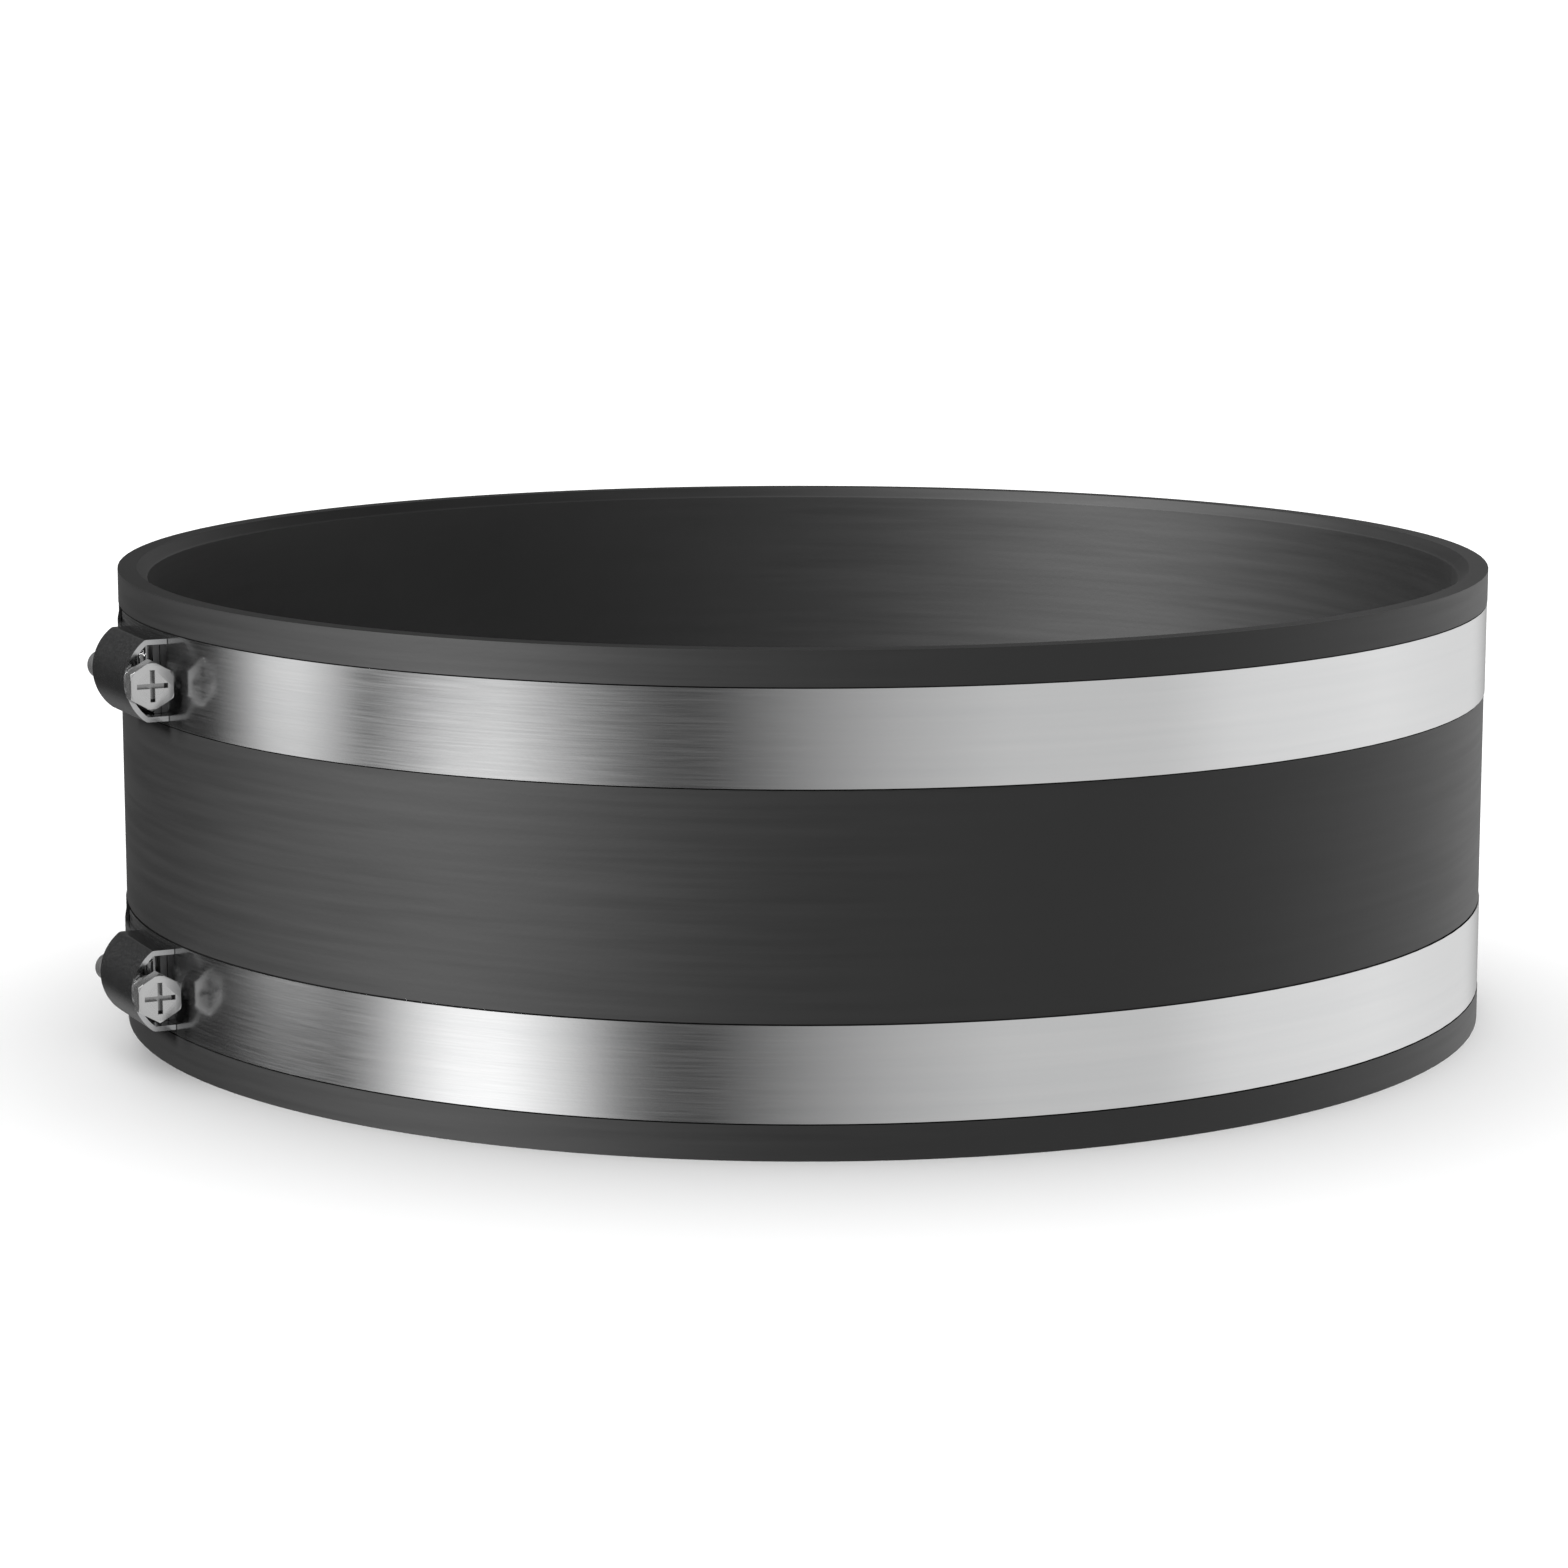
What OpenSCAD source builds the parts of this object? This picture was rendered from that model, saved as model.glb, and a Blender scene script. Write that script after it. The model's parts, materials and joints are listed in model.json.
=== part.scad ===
// Rubber duct coupler for round duct, held by two worm-drive strap clamps.
// The origin is on the bore's axis at mid-height, and +Z runs along the bore.
// Each clamp is drawn in its own frame: x runs along the screw from head to tip,
// y points out from the sleeve, and z stays parallel to the bore.

/* [Sleeve] */
// Bore that slips over the duct
bore_d = 203; // [150:1:260]
// Thickness of the rubber wall
wall_t = 4.5; // [4:0.1:8]
// Height of the sleeve
sleeve_h = 70; // [62:1:120]
// Height of the lip between a rim and its strap
lip_h = 5; // [3:0.5:8]
// Chamfer at each mouth of the bore
mouth_chamfer = 1.6; // [0.5:0.1:2]
// How far the middle lies below the lips
waist_drop = 0.2; // [0:0.05:0.4]

/* [Straps] */
// Width of the strap
strap_w = 13.6; // [11:0.1:16]
// Thickness of the strap
strap_t = 0.6; // [0.4:0.05:0.9]
// Gap between a strap's edge and its groove
strap_side_gap = 0.2; // [0.1:0.05:0.4]
// How far the strap lies below the lips
strap_drop = 0.05; // [0:0.05:0.3]
// Length over which the free end steps down behind the housing
step_len = 5; // [4:0.5:10]
// Place behind the clamp's middle where the free end starts to drop into the groove
lap_end = 22; // [20:1:90]
// Length over which the free end drops into the groove and widens
drop_len = 6; // [5:0.5:20]
// How far the free end reaches in front of the clamp's middle
tongue_reach = 2; // [-2:0.5:4]
// Gap between the free end and the housing's cheeks
tongue_side_gap = 0.4; // [0.2:0.05:0.8]
// Distance from one pressed ridge to the next
ridge_pitch = 2; // [1.6:0.1:3]
// Width of a pressed ridge
ridge_w = 0.9; // [0.6:0.1:1.2]
// Length of a pressed ridge across the free end
ridge_len = 6; // [4:0.5:8]
// Height of a pressed ridge
ridge_h = 0.25; // [0.1:0.05:0.3]
// Angle of a pressed ridge
ridge_tilt = 9; // [0:1:15]

/* [Clamps] */
// Angle of the clamps, from the front round to the left
clamp_angle = 64; // [0:1:120]
// How far a cheek of the housing stands in from the strap's edge
cheek_inset = 0.75; // [0.5:0.05:1.5]
// Thickness of the housing's sheet
sheet_t = 0.75; // [0.6:0.05:1]
// Height of the cheeks above the strap
shoulder_h = 3.1; // [2.5:0.1:4]
// Outer radius of the bend between a cheek and the arched top
shoulder_bend = 0.9; // [0.8:0.05:1.5]
// Length of the housing in front of the clamp's middle
housing_front = 6.5; // [5:0.1:9]
// Length of the housing behind the clamp's middle
housing_back = 9.4; // [7:0.1:14]
// Thickness of the saddle plate
saddle_t = 1; // [0.6:0.05:1.2]
// How far the saddle's front end stands back from the housing's front edge
saddle_set_back = 3.2; // [1:0.1:4]
// Depth of the notch that seats the collar in the housing's front edge
notch_depth = 0.6; // [0.3:0.05:1]
// Gap between the collar and the side of the notch
notch_gap = 0.5; // [0.3:0.05:0.8]

/* [Screws] */
// Radius of the worm over its threads
worm_r = 1.7; // [1.5:0.05:2.4]
// Hexagon across its flats
head_af = 6.4; // [5.5:0.1:7]
// Height of the hexagon
head_h = 2.4; // [1.5:0.1:5]
// How far the face circle stands outside the flats
face_margin = 0.2; // [0:0.05:0.3]
// Angle between the face and the chamfer round it
face_slope = 30; // [20:5:45]
// Radius of the collar that bears in the housing's notch
collar_r = 2.6; // [2.4:0.05:3]
// Length of the collar
collar_len = 3.1; // [1:0.1:4]
// Radius of the plain neck behind the collar
neck_r = 1.4; // [1.2:0.05:1.6]
// Length of the plain neck
neck_len = 1; // [0.5:0.1:2]
// How far the upset tip stands out past the worm
tip_lap = 0.45; // [0.15:0.05:0.5]
// Length of the tip behind the housing
tip_len = 5.3; // [3:0.1:8]
// Length of the tip's rounded end
dome_len = 1.5; // [0.5:0.1:2]
// Span of the cross recess
recess_span = 4.7; // [3:0.1:5]
// Width of the cross recess
recess_w = 0.75; // [0.5:0.05:1.2]
// Depth of the cross recess
recess_depth = 1; // [0.5:0.1:2]

/* [Fits] */
// Gap between pieces that sit on each other
seat_gap = 0.05; // [0.02:0.01:0.1]
// Gap round the turning screw
run_gap = 0.1; // [0.05:0.05:0.2]

/* [Hidden] */
$fn = 96;
overcut = 0.1;
sleeve_r = bore_d/2 + wall_t;
groove_w = strap_w + 2*strap_side_gap;
groove_r = sleeve_r - strap_drop - strap_t - seat_gap;
clamp_z = sleeve_h/2 - lip_h - groove_w/2;

// Radii from the bore's axis outwards, through the middle of a clamp
strap_in_r = groove_r + seat_gap;
foot_r = strap_in_r + strap_t + seat_gap;
tongue_in_r = foot_r + saddle_t + seat_gap;
tongue_out_r = tongue_in_r + strap_t;
axis_r = tongue_out_r + ridge_h + run_gap + worm_r;
crest_r = axis_r + worm_r + run_gap + sheet_t;

housing_w = strap_w - 2*cheek_inset;
inside_w = housing_w - 2*sheet_t;
tongue_w = inside_w - 2*tongue_side_gap;
housing_len = housing_front + housing_back;
arch_rise = crest_r - foot_r - shoulder_h;
arch_r = (pow(housing_w/2, 2) + pow(arch_rise, 2)) / (2*arch_rise);
tip_r = worm_r + tip_lap;

// Places along the strap, measured from the clamp's middle
tongue_tip = -tongue_reach;
saddle_tip = -housing_front + saddle_set_back;
saddle_back = housing_back - sheet_t;
step_top = housing_back + sheet_t;
step_foot = step_top + step_len;
drop_foot = lap_end + drop_len;
fixed_end = lap_end - strap_t;
level_steps = 10;
hair = 0.02;
ridge_count = floor((lap_end - tongue_tip) / ridge_pitch);
head_corner_r = head_af/2 / cos(30);
face_r = head_af/2 + face_margin;

rubber = "#2e2e30";
steel = "#c3c5c7";
dark_steel = "#4a4b4e";

// Angle of a place that lies the length s along the strap
function turn(s) = s / foot_r * 180 / PI;
// Smooth step from 0 to 1
function ease(u) = u <= 0 ? 0 : u >= 1 ? 1 : u * u * (3 - 2*u);
// Inner radius of the free end at the place s: on the saddle, on the fixed end or in the groove
function strap_r(s) =
    tongue_in_r - (tongue_in_r - foot_r) * ease((s - step_top) / step_len)
    - (foot_r - strap_in_r) * ease((s - lap_end) / drop_len);
// Point at the radius r above the place s
function at(r, s) = [r * sin(turn(s)), r * cos(turn(s))];

// Puts a clamp's own frame in its place on the sleeve
module clamp_at(z) {
    translate([0, 0, z]) rotate([0, 0, 180 - clamp_angle]) children();
}

// Strip bent round the bore's axis, from the place s0 to the place s1
module bent_strip(r, t, w, s0, s1) {
    rotate([0, 0, 90 - turn(s1)])
        rotate_extrude(angle = turn(s1) - turn(s0), $fn = 360)
            translate([r, -w/2]) square([t, w]);
}

// Cylinder along the screw's axis, starting at the place s
module along_screw(s, len, r) {
    translate([s, axis_r, 0]) rotate([0, 90, 0]) cylinder(h = len, r = r);
}

module sleeve_section() {
    half_h = sleeve_h/2;
    groove_top = half_h - lip_h;
    groove_foot = groove_top - groove_w;
    waist_r = sleeve_r - waist_drop;
    bore_r = bore_d/2;
    polygon([
        [bore_r, -half_h + mouth_chamfer], [bore_r + mouth_chamfer, -half_h],
        [sleeve_r, -half_h], [sleeve_r, -groove_top],
        [groove_r, -groove_top], [groove_r, -groove_foot],
        [waist_r, -groove_foot], [waist_r, groove_foot],
        [groove_r, groove_foot], [groove_r, groove_top],
        [sleeve_r, groove_top], [sleeve_r, half_h],
        [bore_r + mouth_chamfer, half_h], [bore_r, half_h - mouth_chamfer]
    ]);
}

module rubber_sleeve() {
    color(rubber) rotate_extrude($fn = 360) sleeve_section();
}

// Stretch of the free end that changes level, and its width from w0 to w1. It is
// a hair thinner than the strap, and both its ends lie inside the strap.
module level_change(s0, span, w0, w1) {
    places = concat(s0 - strap_t,
        [for (i = [0:level_steps]) s0 + span * i / level_steps], s0 + span + strap_t);
    last = len(places) - 1;
    inner = [for (i = [0:last]) at(strap_r(places[i]) + hair, places[i] - s0)];
    outer = [for (i = [last:-1:0]) at(strap_r(places[i]) + strap_t - hair, places[i] - s0)];
    half_0 = w0/2 - hair;
    half_1 = w1/2 - hair;
    rotate([0, 0, -turn(s0)]) intersection() {
        translate([0, 0, -strap_w/2]) linear_extrude(strap_w) polygon(concat(inner, outer));
        rotate([-90, 0, 0]) linear_extrude(crest_r) polygon([
            [-strap_w, -half_0], [0, -half_0], [span, -half_1], [span + strap_w, -half_1],
            [span + strap_w, half_1], [span, half_1], [0, half_0], [-strap_w, half_0]
        ]);
    }
}

module pressed_ridge(s) {
    rotate([0, 0, -turn(s)])
        translate([0, strap_r(s) + strap_t, 0]) rotate([0, ridge_tilt, 0])
            translate([-ridge_w/2, -strap_t/2, -ridge_len/2])
                cube([ridge_w, strap_t/2 + ridge_h, ridge_len]);
}

module strap() {
    once_round = 2 * PI * foot_r;
    color(steel) union() {
        bent_strip(strap_in_r, strap_t, strap_w, drop_foot, once_round + fixed_end);
        level_change(lap_end, drop_len, tongue_w, strap_w);
        bent_strip(foot_r, strap_t, tongue_w, step_foot, lap_end);
        level_change(step_top, step_len, tongue_w, tongue_w);
        bent_strip(tongue_in_r, strap_t, tongue_w, tongue_tip, step_top);
        for (i = [1:ridge_count - 1]) pressed_ridge(tongue_tip + i * ridge_pitch);
    }
}

module saddle() {
    color(steel)
        bent_strip(foot_r, saddle_t, inside_w - 2*seat_gap, saddle_tip, saddle_back);
}

// Cross-section of the sheet cover: radial height along x, width along y. Two
// cheeks, an arched top, and a bend of its own circle between each pair.
module cover_outline(inset) {
    half_w = housing_w/2 - inset;
    bend_r = shoulder_bend - inset;
    bend_y = half_w - bend_r;
    arch_x = crest_r - arch_r;
    bend_x = arch_x + sqrt(pow(arch_r - inset - bend_r, 2) - pow(bend_y, 2));
    reach = [1, bend_y / (bend_x - arch_x)] * 2*arch_r;
    intersection() {
        translate([arch_x, 0]) circle(r = arch_r - inset);
        translate([arch_x, 0]) polygon([[0, 0], [reach[0], -reach[1]], [reach[0], reach[1]]]);
    }
    for (side = [-1, 1]) translate([bend_x, side * bend_y]) circle(r = bend_r);
    translate([foot_r - strap_t - inset, -half_w])
        square([bend_x - foot_r + strap_t + inset, 2*half_w]);
}

module housing() {
    color(dark_steel) difference() {
        translate([-housing_front, 0, 0]) rotate([90, 0, 90])
            linear_extrude(housing_len) difference() {
                cover_outline(0);
                cover_outline(sheet_t);
            }
        translate([0, 0, -strap_w]) cylinder(h = 2*strap_w, r = foot_r, $fn = 360);
        along_screw(-housing_front - overcut, notch_depth + overcut, collar_r + notch_gap);
    }
}

module hex_head() {
    rim_r = head_corner_r + overcut;
    rim_depth = (rim_r - face_r) * tan(face_slope);
    intersection() {
        cylinder(h = head_h, r = head_corner_r, $fn = 6);
        rotate_extrude() polygon([
            [0, 0], [face_r, 0], [rim_r, rim_depth], [rim_r, head_h], [0, head_h]
        ]);
    }
}

module cross_recess() {
    for (a = [0, 90])
        rotate([0, 0, a]) translate([-recess_span/2, -recess_w/2, -overcut])
            cube([recess_span, recess_w, recess_depth + overcut]);
}

// Rounded end of a cylinder, starting at the place s
module along_dome(s, len, r) {
    translate([s, axis_r, 0]) rotate([0, 90, 0]) rotate_extrude() intersection() {
        ball_r = (r*r + len*len) / (2*len);
        translate([0, len - ball_r]) circle(r = ball_r);
        square([r, len]);
    }
}

module screw() {
    collar_back = -housing_front + notch_depth - run_gap;
    head_back = collar_back - collar_len;
    worm_front = collar_back + neck_len;
    tip_front = housing_back + run_gap;
    color(steel) union() {
        translate([head_back - head_h, axis_r, 0]) rotate([0, 90, 0]) difference() {
            hex_head();
            cross_recess();
        }
        along_screw(head_back, collar_len, collar_r);
        along_screw(collar_back, neck_len, neck_r);
        along_screw(worm_front, tip_front - worm_front, worm_r);
        along_screw(tip_front, tip_len - dome_len, tip_r);
        along_dome(tip_front + tip_len - dome_len, dome_len, tip_r);
    }
}

module upper_strap() { clamp_at(clamp_z) strap(); }
module upper_saddle() { clamp_at(clamp_z) saddle(); }
module upper_housing() { clamp_at(clamp_z) housing(); }
module upper_screw() { clamp_at(clamp_z) screw(); }
module lower_strap() { clamp_at(-clamp_z) strap(); }
module lower_saddle() { clamp_at(-clamp_z) saddle(); }
module lower_housing() { clamp_at(-clamp_z) housing(); }
module lower_screw() { clamp_at(-clamp_z) screw(); }

rubber_sleeve();
upper_strap();
upper_saddle();
upper_housing();
upper_screw();
lower_strap();
lower_saddle();
lower_housing();
lower_screw();
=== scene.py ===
# %% [markdown]
# # A rubber duct coupler with two strap clamps
#
# The object is a short sleeve of black moulded rubber that joins two round ducts. A groove near
# each rim holds a stainless strap, and a small screw-driven clamp pulls each strap tight.
#
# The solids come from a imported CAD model, which fixes every size and place. This lesson dresses
# them: it sets the camera and the lights, gives each surface its finish, and builds in mesh code
# the small forms that the solids leave out, such as the screws' threads.

# %% Load the frame
import json
import math

import bmesh
import bpy
from mathutils import Matrix, Vector


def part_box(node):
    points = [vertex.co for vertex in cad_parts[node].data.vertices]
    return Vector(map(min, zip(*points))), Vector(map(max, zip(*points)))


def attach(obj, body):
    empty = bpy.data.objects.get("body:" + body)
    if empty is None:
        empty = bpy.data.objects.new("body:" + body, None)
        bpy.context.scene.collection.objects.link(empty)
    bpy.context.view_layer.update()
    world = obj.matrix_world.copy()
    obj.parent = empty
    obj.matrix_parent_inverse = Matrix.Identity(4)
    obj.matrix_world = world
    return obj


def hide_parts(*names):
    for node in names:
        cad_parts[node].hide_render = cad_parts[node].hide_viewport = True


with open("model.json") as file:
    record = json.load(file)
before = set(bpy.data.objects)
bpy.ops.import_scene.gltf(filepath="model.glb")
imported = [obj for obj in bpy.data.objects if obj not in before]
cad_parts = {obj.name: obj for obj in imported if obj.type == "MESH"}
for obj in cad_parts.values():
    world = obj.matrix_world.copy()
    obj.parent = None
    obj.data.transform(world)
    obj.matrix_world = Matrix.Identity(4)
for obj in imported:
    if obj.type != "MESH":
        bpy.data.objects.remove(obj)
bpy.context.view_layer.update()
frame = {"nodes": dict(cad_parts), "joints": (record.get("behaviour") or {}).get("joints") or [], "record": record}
nodes = frame["nodes"]
joints = {joint["name"]: joint for joint in frame["joints"]}
record = frame["record"]
print("nodes:", ", ".join(sorted(nodes)))
print("joints:", ", ".join(sorted(joints)))

# %% [markdown]
# ## The camera
#
# The picture was taken with a long lens from a little above the rim. A long lens keeps the far
# and the near rim almost equally wide, so the lens and the distance belong together: a shorter
# lens from nearby would show a rounder mouth. The distance, height and tilt below were found by
# matching the rims, straps and outline of the sleeve all at once.

# %% Place the camera
sleeve_low, sleeve_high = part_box("rubber_sleeve")
floor_z = sleeve_low.z
MM = 0.001
camera_back = 692.45 * MM
camera_above_floor = 152.69 * MM
look_down = math.radians(9.7456)
turn_left = math.radians(0.2386)

camera_data = bpy.data.cameras.new("camera")
camera_data.sensor_width = 36
camera_data.lens = 102.25
camera_data.clip_start = 0.01
camera = bpy.data.objects.new("camera", camera_data)
camera.location = (0, -camera_back, floor_z + camera_above_floor)
camera.rotation_euler = (math.pi / 2 - look_down, 0, turn_left)
bpy.context.scene.collection.objects.link(camera)
bpy.context.scene.camera = camera
print("camera at", [round(v, 4) for v in camera.location])

# %% [markdown]
# ## Helpers for node materials
#
# Every finish below is a small graph of nodes. These helpers keep the code about as short as the
# graph: one adds a node and sets its inputs, one joins two sockets, and the others add the parts
# that several finishes share.

# %% Helpers for nodes
def new_material(name):
    """A material with one Principled shader, ready for more nodes."""
    material = bpy.data.materials.new(name)
    material.use_nodes = True
    tree = material.node_tree
    return material, tree, tree.nodes["Principled BSDF"]


def add(tree, kind, inputs=None, **settings):
    """Adds a node, sets its properties by name and its input values by label."""
    node = tree.nodes.new(kind)
    for name, value in settings.items():
        setattr(node, name, value)
    for label, value in (inputs or {}).items():
        node.inputs[label].default_value = value
    return node


def join(tree, source, output, target, socket):
    tree.links.new(source.outputs[output], target.inputs[socket])


def math_node(tree, operation, first, second=0.0, third=0.0):
    """A Math node. Each operand is a number or a pair of a node and its output."""
    node = add(tree, "ShaderNodeMath", operation=operation)
    for place, value in enumerate((first, second, third)):
        if isinstance(value, tuple):
            join(tree, value[0], value[1], node, place)
        else:
            node.inputs[place].default_value = value
    return node


def ramp(tree, stops, interpolation="LINEAR"):
    """A Color Ramp with grey stops, each a pair of place and brightness."""
    node = add(tree, "ShaderNodeValToRGB")
    node.color_ramp.interpolation = interpolation
    elements = node.color_ramp.elements
    while len(elements) > 1:
        elements.remove(elements[-1])
    for place, grey in stops:
        stop = elements[0] if place == stops[0][0] else elements.new(place)
        stop.position = place
        stop.color = (grey, grey, grey, 1)
    return node


print("helpers ready")

# %% [markdown]
# ## A white studio
#
# The object stands on white paper in front of a white wall, with only a soft shadow round its
# base. The paper gets its shadow from the world's plain light.

# %% The floor
floor_half = 6.0
bpy.ops.mesh.primitive_plane_add(size=2 * floor_half, location=(0, 0, floor_z))
floor = bpy.context.object
floor.name = "floor"
floor_white, tree, shader = new_material("floor_white")
shader.inputs["Base Color"].default_value = (0.93, 0.93, 0.93, 1)
shader.inputs["Roughness"].default_value = 1.0
shader.inputs["Specular IOR Level"].default_value = 0.0
floor.data.materials.append(floor_white)
floor.visible_glossy = False
print("floor at z =", round(floor_z, 4))

# %% [markdown]
# Rubber and steel show their shape by what they reflect, so the studio also has a ring of pale
# and dark cloths that only reflections see. Each list below gives brightness by compass
# direction, in degrees from the camera's side, with the right side positive. The bright and dark
# stretches of the straps come from it, one for one: a cylinder seen at an angle reflects what
# lies at twice that angle.
#
# The upper and the lower strap don't match on the left, because the lower one looks a little
# further down, past the edge of the cloths. So the left has one list above and one below.
#
# The cloths end at a height of about 38 degrees, and the white paper takes over below. The
# world's own light sampling is off, because it would mix the light of the room into reflections.

# %% The world
BEHIND = [(-180, 0.07), (-160, 0.06), (-140, 0.015), (-118, 0.015)]
LEFT_ABOVE = [(-112, 0.02), (-104, 0.38), (-97, 0.95), (-89, 1.1), (-81, 0.68), (-75, 0.04),
              (-67, 0.16), (-59, 0.42), (-49, 0.55), (-38, 0.22), (-30, 0.12)]
LEFT_BELOW = [(-112, 0.0), (-104, 0.0), (-97, 0.0), (-89, 0.0), (-81, 0.0), (-75, 0.42),
              (-67, 1.1), (-59, 1.65), (-49, 1.7), (-38, 1.0), (-30, 0.3)]
THE_REST = [
    (-23, 0.07), (-15, 0.06), (-8, 0.18), (2, 0.36), (15, 0.56), (33, 0.74), (60, 0.76),
    (74, 0.95), (110, 1.06), (150, 0.85), (165, 0.4), (180, 0.07),
]
ROOM_LIGHT = 1.4
BACK_SHARE = 0.5

world = bpy.data.worlds.new("studio")
world.use_nodes = True
world.cycles.sampling_method = "NONE"
tree = world.node_tree
background = tree.nodes["Background"]
background.inputs["Color"].default_value = (1, 1, 1, 1)
bpy.context.scene.world = world
bpy.context.scene.view_settings.view_transform = "Standard"

direction = add(tree, "ShaderNodeTexCoord")
parts = add(tree, "ShaderNodeSeparateXYZ")
join(tree, direction, "Generated", parts, "Vector")
toward_camera = math_node(tree, "MULTIPLY", (parts, "Y"), -1.0)
compass = math_node(tree, "ARCTAN2", (parts, "X"), (toward_camera, "Value"))
whole_turn = math_node(tree, "MULTIPLY_ADD", (compass, "Value"), 1 / math.tau, 0.5)


def ring_of_cloths(left_side):
    """The brightness of the cloths by compass direction."""
    stops = BEHIND + left_side + THE_REST
    node = ramp(tree, [(degrees / 360 + 0.5, grey) for degrees, grey in stops])
    join(tree, whole_turn, "Value", node, "Fac")
    return node


above = ring_of_cloths(LEFT_ABOVE)
below = ring_of_cloths(LEFT_BELOW)
height = add(tree, "ShaderNodeMapRange", interpolation_type="SMOOTHSTEP", inputs={
    "From Min": math.sin(math.radians(-14)), "From Max": math.sin(math.radians(-8))})
join(tree, parts, "Z", height, "Value")
cloths = add(tree, "ShaderNodeMix", data_type="FLOAT")
join(tree, height, "Result", cloths, 0)
join(tree, below, "Color", cloths, 2)
join(tree, above, "Color", cloths, 3)

steepness = math_node(tree, "ABSOLUTE", (parts, "Z"))
band = add(tree, "ShaderNodeMapRange", interpolation_type="SMOOTHSTEP", inputs={
    "From Min": math.sin(math.radians(15)), "From Max": math.sin(math.radians(38)),
    "To Min": 1.0, "To Max": 0.12})
join(tree, steepness, "Value", band, "Value")

paper = add(tree, "ShaderNodeMapRange", interpolation_type="SMOOTHSTEP", inputs={
    "From Min": math.sin(math.radians(-15)), "From Max": math.sin(math.radians(-44)),
    "To Max": 0.62})
join(tree, parts, "Z", paper, "Value")
reflected = math_node(tree, "MULTIPLY_ADD", (cloths, 0), (band, "Result"), (paper, "Result"))

room = math_node(tree, "MULTIPLY_ADD", (parts, "Y"), ROOM_LIGHT * BACK_SHARE, ROOM_LIGHT)
path = add(tree, "ShaderNodeLightPath")
brightness = add(tree, "ShaderNodeMix", data_type="FLOAT")
join(tree, path, "Is Glossy Ray", brightness, 0)
join(tree, room, "Value", brightness, 2)
join(tree, reflected, "Value", brightness, 3)
join(tree, brightness, 0, background, "Strength")
print("studio with", len(BEHIND + LEFT_ABOVE + THE_REST), "stretches of cloth")

# %% [markdown]
# One soft lamp stands high on the left. Only reflections see it, and only on surfaces that the
# camera sees directly, so it gives the rubber its broad sheen and leaves the paper alone.

# %% The lamp
LAMP_COMPASS, LAMP_HEIGHT = math.radians(-63), math.radians(34)
lamp = bpy.data.lights.new("left_lamp", "SUN")
lamp.energy = 28
lamp.angle = math.radians(24)
lamp.cycles.max_bounces = 0
lamp_object = bpy.data.objects.new("left_lamp", lamp)
bpy.context.scene.collection.objects.link(lamp_object)
lamp_object.rotation_euler = (math.pi / 2 - LAMP_HEIGHT, 0, LAMP_COMPASS)
lamp_object.visible_diffuse = False
print("lamp", round(math.degrees(LAMP_HEIGHT)), "degrees up, on the left in front")

# %% [markdown]
# ## The finishes
#
# Each finish starts from the object's own coordinates, which are in metres, so a grain of a given
# size in millimetres is the same on every piece.

# %% Shared patterns
def grain(tree, size_mm, detail=3.0, stretch=(1, 1, 1), place=None):
    """Noise whose blotches are about size_mm across, stretched along the axes."""
    if place is None:
        place = (add(tree, "ShaderNodeTexCoord"), "Object")
    mapping = add(tree, "ShaderNodeMapping", inputs={"Scale": stretch})
    join(tree, place[0], place[1], mapping, "Vector")
    noise = add(tree, "ShaderNodeTexNoise", inputs={"Scale": 1 / (size_mm * MM), "Detail": detail})
    join(tree, mapping, "Vector", noise, "Vector")
    return noise


def distance(tree, parts, first, second):
    """How far a point is from the axis that the two coordinates are square to."""
    squares = math_node(tree, "MULTIPLY", (parts, first), (parts, first))
    squares = math_node(tree, "MULTIPLY_ADD", (parts, second), (parts, second), (squares, "Value"))
    return math_node(tree, "SQRT", (squares, "Value"))


def round_the_bore(tree):
    """Coordinates that follow the sleeve: way round and height, both in metres."""
    coords = add(tree, "ShaderNodeTexCoord")
    parts = add(tree, "ShaderNodeSeparateXYZ")
    join(tree, coords, "Object", parts, "Vector")
    angle = math_node(tree, "ARCTAN2", (parts, "Y"), (parts, "X"))
    way = math_node(tree, "MULTIPLY", (angle, "Value"), sleeve_high.x)
    flat = add(tree, "ShaderNodeCombineXYZ")
    join(tree, way, "Value", flat, "X")
    join(tree, parts, "Z", flat, "Z")
    return flat


def spread(tree, noise, low, high, shader, socket):
    """Drives an input of the shader from low to high with a noise."""
    node = add(tree, "ShaderNodeMapRange",
               inputs={"From Min": 0.3, "From Max": 0.7, "To Min": low, "To Max": high})
    join(tree, noise, "Fac", node, "Value")
    join(tree, node, "Result", shader, socket)


def tint(tree, noise, dark, pale, shader):
    """Drives the base colour between two colours with a noise."""
    node = add(tree, "ShaderNodeMix", data_type="RGBA")
    node.inputs["A"].default_value = (*dark, 1)
    node.inputs["B"].default_value = (*pale, 1)
    join(tree, noise, "Fac", node, 0)
    colour = [output for output in node.outputs if output.type == "RGBA"][0]
    tree.links.new(colour, shader.inputs["Base Color"])


def emboss(tree, noises, shader):
    """Bumps the surface by several noises, each with its height in millimetres."""
    last = None
    for noise, height_mm in noises:
        bump = add(tree, "ShaderNodeBump", inputs={"Strength": 1.0, "Distance": height_mm * MM})
        join(tree, noise, "Fac", bump, "Height")
        if last:
            join(tree, last, "Normal", bump, "Normal")
        last = bump
    join(tree, last, "Normal", shader, "Normal")


def dress(node, material):
    """Gives a node of the frame one material."""
    mesh = nodes[node].data
    mesh.materials.clear()
    mesh.materials.append(material)


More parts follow.
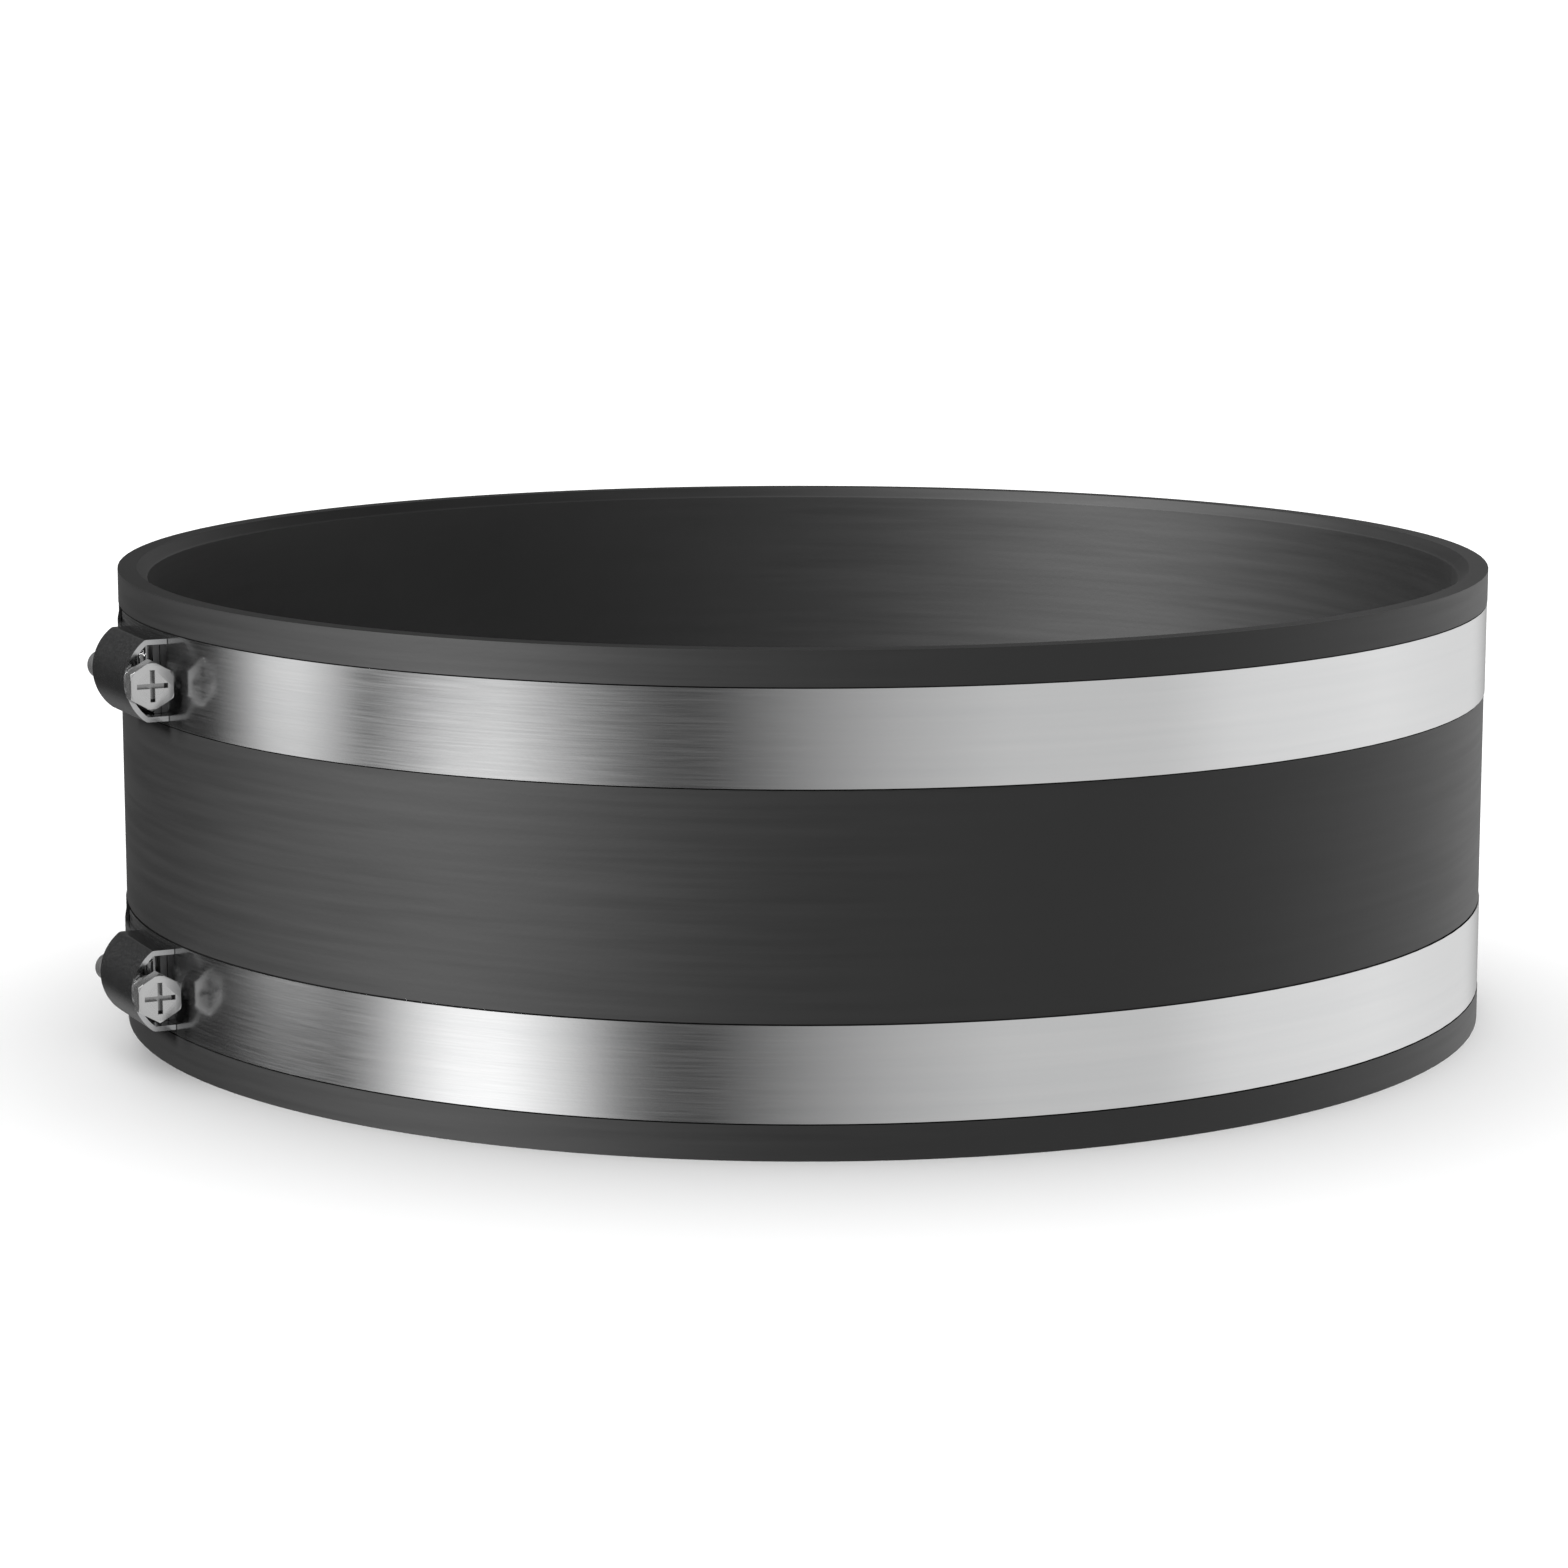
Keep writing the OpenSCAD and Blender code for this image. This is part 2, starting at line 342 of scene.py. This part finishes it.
def soften(node, width_mm, segments=2):
    """Rounds the sharp edges of a node of the frame."""
    bevel = nodes[node].modifiers.new("soft_edges", "BEVEL")
    bevel.width = width_mm * MM
    bevel.segments = segments
    bevel.limit_method = "ANGLE"
    bevel.angle_limit = math.radians(28)
    bevel.harden_normals = False
    bevel.use_clamp_overlap = True


print("patterns ready")

# %% [markdown]
# ### Black rubber
#
# Moulded rubber is almost black, with a low sheen. Three things make it rubber and not plastic:
# a fine pebbled grain, a faint cloudiness of the sheen, and a few long streaks that run round the
# sleeve where the mould was wiped.

# %% Black rubber
black_rubber, tree, shader = new_material("black_rubber")
way_round = round_the_bore(tree)
cloud = grain(tree, 14, detail=4)
pebbles = grain(tree, 0.7, detail=2)
streaks = grain(tree, 1.4, detail=3, stretch=(0.04, 1, 1), place=(way_round, "Vector"))
coords = add(tree, "ShaderNodeTexCoord")
parts = add(tree, "ShaderNodeSeparateXYZ")
join(tree, coords, "Object", parts, "Vector")
# The bore gets a base grey three times as light as the outside, 0.0125 against 0.0042: painted light on the inner
# wall, not a different rubber.
from_axis = distance(tree, parts, "X", "Y")
bore_side = math_node(tree, "LESS_THAN", (from_axis, "Value"), sleeve_high.x - 4.3 * MM)
grey_with_painted_bore_light = add(tree, "ShaderNodeMapRange", inputs={"To Min": 0.0042, "To Max": 0.0125})
join(tree, bore_side, "Value", grey_with_painted_bore_light, "Value")
clouded = add(tree, "ShaderNodeMapRange", inputs={"To Min": 0.8, "To Max": 1.25})
join(tree, cloud, "Fac", clouded, "Value")
grey = math_node(tree, "MULTIPLY", (grey_with_painted_bore_light, "Result"), (clouded, "Result"))
join(tree, grey, "Value", shader, "Base Color")
spread(tree, streaks, 0.42, 0.46, shader, "Roughness")
emboss(tree, [(pebbles, 0.005)], shader)
shader.inputs["Specular IOR Level"].default_value = 0.45
dress("rubber_sleeve", black_rubber)
soften("rubber_sleeve", 0.35, 3)
print("rubber on the sleeve")

# %% [markdown]
# ### Steel
#
# The straps are rolled and then brushed along their length. The brushing spreads each reflection
# up and down, across the lines, and hardly at all along them. The covers, saddles and screws are
# small pressed or turned pieces with a finer, less regular finish.

# %% Brushed strap steel
strap_steel, tree, shader = new_material("strap_steel")
way_round = round_the_bore(tree)
lines = grain(tree, 0.25, detail=2, stretch=(0.02, 1, 1), place=(way_round, "Vector"))
bands = grain(tree, 1.6, detail=2, stretch=(0.03, 1, 1), place=(way_round, "Vector"))
specks = grain(tree, 0.6, detail=4)
tint(tree, bands, (0.63, 0.635, 0.64), (0.69, 0.69, 0.69), shader)
spread(tree, lines, 0.15, 0.2, shader, "Roughness")
emboss(tree, [(lines, 0.0008), (specks, 0.0015)], shader)
shader.inputs["Metallic"].default_value = 1.0
shader.inputs["Anisotropic"].default_value = 0.1
shader.inputs["Anisotropic Rotation"].default_value = 0.25
tangent = add(tree, "ShaderNodeTangent", direction_type="RADIAL", axis="Z")
join(tree, tangent, "Tangent", shader, "Tangent")
for name in ("upper_strap", "lower_strap"):
    dress(name, strap_steel)
    soften(name, 0.06)
print("steel on the straps")

# %% Pressed steel of the covers and saddles
def small_steel(name, dark, pale, rough, grain_mm=0.35):
    """A finish for small steel pieces: a faint cloudiness and a fine grain."""
    material, tree, shader = new_material(name)
    cloud = grain(tree, 3, detail=3)
    specks = grain(tree, grain_mm, detail=3)
    tint(tree, cloud, dark, pale, shader)
    spread(tree, specks, rough, rough + 0.05, shader, "Roughness")
    emboss(tree, [(specks, 0.0004)], shader)
    shader.inputs["Metallic"].default_value = 1.0
    return material


pressed_steel = small_steel("pressed_steel", (0.52, 0.525, 0.53), (0.62, 0.62, 0.625), 0.15)
# The saddles get a dark grey, 0.16 to 0.24 against 0.52 to 0.62 on the covers: painted shade for the shade inside
# the cover's opening.
saddle_steel_painted_shade = small_steel("saddle_steel_painted_shade", (0.16, 0.16, 0.165), (0.24, 0.24, 0.24), 0.35)
for side in ("upper", "lower"):
    dress(side + "_housing", pressed_steel)
    dress(side + "_saddle", saddle_steel_painted_shade)
print("steel on the covers and saddles")

# %% [markdown]
# ### The screws
#
# The solids give each screw a smooth worm. Here the same screw gets its thread, a round face
# inside the hexagon, a cross recess with sloping walls and a blunt tip. It is a lathe: a row of
# rings, each with its place along the axis and its radius, and the head's rings follow a hexagon.

# %% Sizes of a screw, in millimetres
FACE, HEAD_BACK, COLLAR_BACK, WORM_FRONT, TIP_FRONT, TIP_END = -11.5, -9.1, -6.0, -5.0, 9.5, 14.8
FACE_R, HALF_FLATS, COLLAR_R, NECK_R, TIP_R = 3.38, 3.2, 2.6, 1.4, 2.15
ROOT_R, CREST_R, PITCH = 1.25, 1.7, 2.0
RECESS_SPAN, RECESS_W, RECESS_DEPTH = 4.7, 0.75, 1.0
FACE_SLOPE = math.radians(36)
AROUND = 96


def hexagon(angle):
    """Distance from the middle of the hexagon to its side, in the direction of angle."""
    sixth = math.radians(60)
    return HALF_FLATS / math.cos((angle + sixth / 2) % sixth - sixth / 2)


def head_rings():
    """The face's circle, the hexagon's slanted rim and its back."""
    def edge(angle):
        return min(FACE_R, hexagon(angle))

    def rim(angle):
        return FACE + (hexagon(angle) - edge(angle)) * math.tan(FACE_SLOPE)

    return [(lambda a: FACE, lambda a: edge(a) - 0.06), (lambda a: FACE + 0.02, edge),
            (lambda a: rim(a) + 0.03, hexagon), (lambda a: HEAD_BACK, hexagon)]


def lathe(rings):
    """A closed mesh through the rings, as (place, radius) of numbers or functions of the angle."""
    mesh = bmesh.new()
    loops = []
    for place, radius in rings:
        loop = []
        for i in range(AROUND):
            angle = math.tau * i / AROUND
            r = radius(angle) if callable(radius) else radius
            s = place(angle) if callable(place) else place
            loop.append(mesh.verts.new((s, r * math.cos(angle), r * math.sin(angle))))
        loops.append(loop)
    for first, second in zip(loops, loops[1:]):
        for i in range(AROUND):
            k = (i + 1) % AROUND
            mesh.faces.new((first[i], first[k], second[k], second[i]))
    mesh.faces.new(list(reversed(loops[0])))
    mesh.faces.new(loops[-1])
    return mesh


def add_thread(mesh):
    """A ridge that winds round the worm and fades in and out over a quarter turn."""
    start, end = WORM_FRONT + 0.4, TIP_FRONT - 0.5
    steps = round((end - start) / PITCH * 48)
    last = None
    for i in range(steps + 1):
        turn = math.tau * i / 48
        fade = min(1, i / 12, (steps - i) / 12)
        middle = start + (end - start) * i / steps
        crest = ROOT_R + (CREST_R - ROOT_R) * fade
        corners = ((-0.55, ROOT_R - 0.1), (-0.2, crest), (0.2, crest), (0.55, ROOT_R - 0.1))
        ring = [mesh.verts.new((middle + ds, r * math.cos(turn), r * math.sin(turn)))
                for ds, r in corners]
        if last:
            for k in range(4):
                mesh.faces.new((last[k], last[(k + 1) % 4], ring[(k + 1) % 4], ring[k]))
        last = ring


def recess_cutter():
    """A cross with sloping walls that sinks into the face."""
    half_span, half_w = RECESS_SPAN / 2, RECESS_W / 2
    quarter = [(half_span, -half_w), (half_span, half_w), (half_w, half_w)]
    mesh = bmesh.new()
    loops = []
    for depth, share in ((-0.5, 1.06), (RECESS_DEPTH, 0.86)):
        loop = []
        for k in range(4):
            for y, z in quarter:
                way = Matrix.Rotation(k * math.pi / 2, 2) @ Vector((y, z))
                loop.append(mesh.verts.new((FACE + depth, way.x * share, way.y * share)))
        loops.append(loop)
    count = len(loops[0])
    for i in range(count):
        k = (i + 1) % count
        mesh.faces.new((loops[0][i], loops[0][k], loops[1][k], loops[1][i]))
    mesh.faces.new(list(reversed(loops[0])))
    mesh.faces.new(loops[1])
    return mesh


def to_object(name, mesh):
    """Puts a mesh that is drawn in millimetres into the scene."""
    bmesh.ops.recalc_face_normals(mesh, faces=mesh.faces)
    bmesh.ops.scale(mesh, vec=(MM, MM, MM), verts=mesh.verts)
    data = bpy.data.meshes.new(name)
    mesh.to_mesh(data)
    mesh.free()
    made = bpy.data.objects.new(name, data)
    bpy.context.scene.collection.objects.link(made)
    return made


def screw_mesh():
    """One screw along its own x axis, with the recess cut and the thread wound on."""
    dome = [(13.35, 2.14), (13.6, 2.03), (14.0, 1.83), (14.35, 1.64), (14.6, 1.43), (14.75, 1.1),
            (TIP_END, 0.6)]
    body = to_object("screw_body", lathe(head_rings() + [
        (HEAD_BACK, COLLAR_R), (COLLAR_BACK - 0.1, COLLAR_R), (COLLAR_BACK, COLLAR_R - 0.1),
        (COLLAR_BACK, NECK_R), (WORM_FRONT, NECK_R), (WORM_FRONT, ROOT_R),
        (TIP_FRONT, ROOT_R), (TIP_FRONT, TIP_R - 0.1), (TIP_FRONT + 0.1, TIP_R)] + dome))
    cutter = to_object("recess_cutter", recess_cutter())
    cut = body.modifiers.new("recess", "BOOLEAN")
    cut.object = cutter
    cut.solver = "EXACT"
    with bpy.context.temp_override(object=body, active_object=body):
        bpy.ops.object.modifier_apply(modifier="recess")
    bpy.data.objects.remove(cutter)
    whole = bmesh.new()
    whole.from_mesh(body.data)
    thread = bmesh.new()
    add_thread(thread)
    bmesh.ops.recalc_face_normals(thread, faces=thread.faces)
    bmesh.ops.scale(thread, vec=(MM, MM, MM), verts=thread.verts)
    thread.to_mesh(data := bpy.data.meshes.new("thread"))
    whole.from_mesh(data)
    whole.to_mesh(body.data)
    mesh = body.data
    bpy.data.objects.remove(body)
    mesh.shade_smooth()
    mesh.set_sharp_from_angle(angle=math.radians(25))
    return mesh


# %% Turned steel of the screws
turned_steel, tree, shader = new_material("turned_steel")
coords = add(tree, "ShaderNodeTexCoord")
parts = add(tree, "ShaderNodeSeparateXYZ")
join(tree, coords, "Object", parts, "Vector")
radius = distance(tree, parts, "Y", "Z")
ring = add(tree, "ShaderNodeCombineXYZ")
join(tree, radius, "Value", ring, "X")
join(tree, parts, "X", ring, "Z")
tool_marks = grain(tree, 0.22, detail=2, place=(ring, "Vector"))
# Inside the cross recess the grey falls from 0.64 to 0.36: painted shade for the shade in the recess.
inside_face = add(tree, "ShaderNodeMapRange", interpolation_type="SMOOTHSTEP", inputs={
    "From Min": FACE * MM + 0.00004, "From Max": FACE * MM + 0.0006})
join(tree, parts, "X", inside_face, "Value")
within = math_node(tree, "LESS_THAN", (radius, "Value"), 0.0027)
within_head = math_node(tree, "LESS_THAN", (parts, "X"), (HEAD_BACK - 0.1) * MM)
recess_painted_shade = math_node(tree, "MULTIPLY", (inside_face, "Result"), (within, "Value"))
recess_painted_shade = math_node(tree, "MULTIPLY", (recess_painted_shade, "Value"), (within_head, "Value"))
recess_painted_shade_colour = ramp(tree, [(0, 0.64), (1, 0.36)])
join(tree, recess_painted_shade, "Value", recess_painted_shade_colour, "Fac")
join(tree, recess_painted_shade_colour, "Color", shader, "Base Color")
spread(tree, tool_marks, 0.24, 0.28, shader, "Roughness")
emboss(tree, [(tool_marks, 0.0006)], shader)
shader.inputs["Metallic"].default_value = 1.0
print("steel for the screws")

# %% Build the screws
shared_mesh = screw_mesh()
shared_mesh.materials.clear()
shared_mesh.materials.append(turned_steel)
for side in ("upper", "lower"):
    joint = joints[side + "_screw_turn"]
    along = Vector(joint["axis"]).normalized()
    up = Vector((0, 0, 1))
    out = up.cross(along)
    screw = bpy.data.objects.new(side + "_worm_screw", shared_mesh.copy())
    bpy.context.scene.collection.objects.link(screw)
    turned = Matrix((along, out, up)).transposed().to_4x4()
    screw.matrix_world = Matrix.Translation(Vector(joint["pos_m"])) @ turned
    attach(screw, side + "_screw")
    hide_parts(side + "_screw")
print("two screws with", len(shared_mesh.polygons), "faces each")
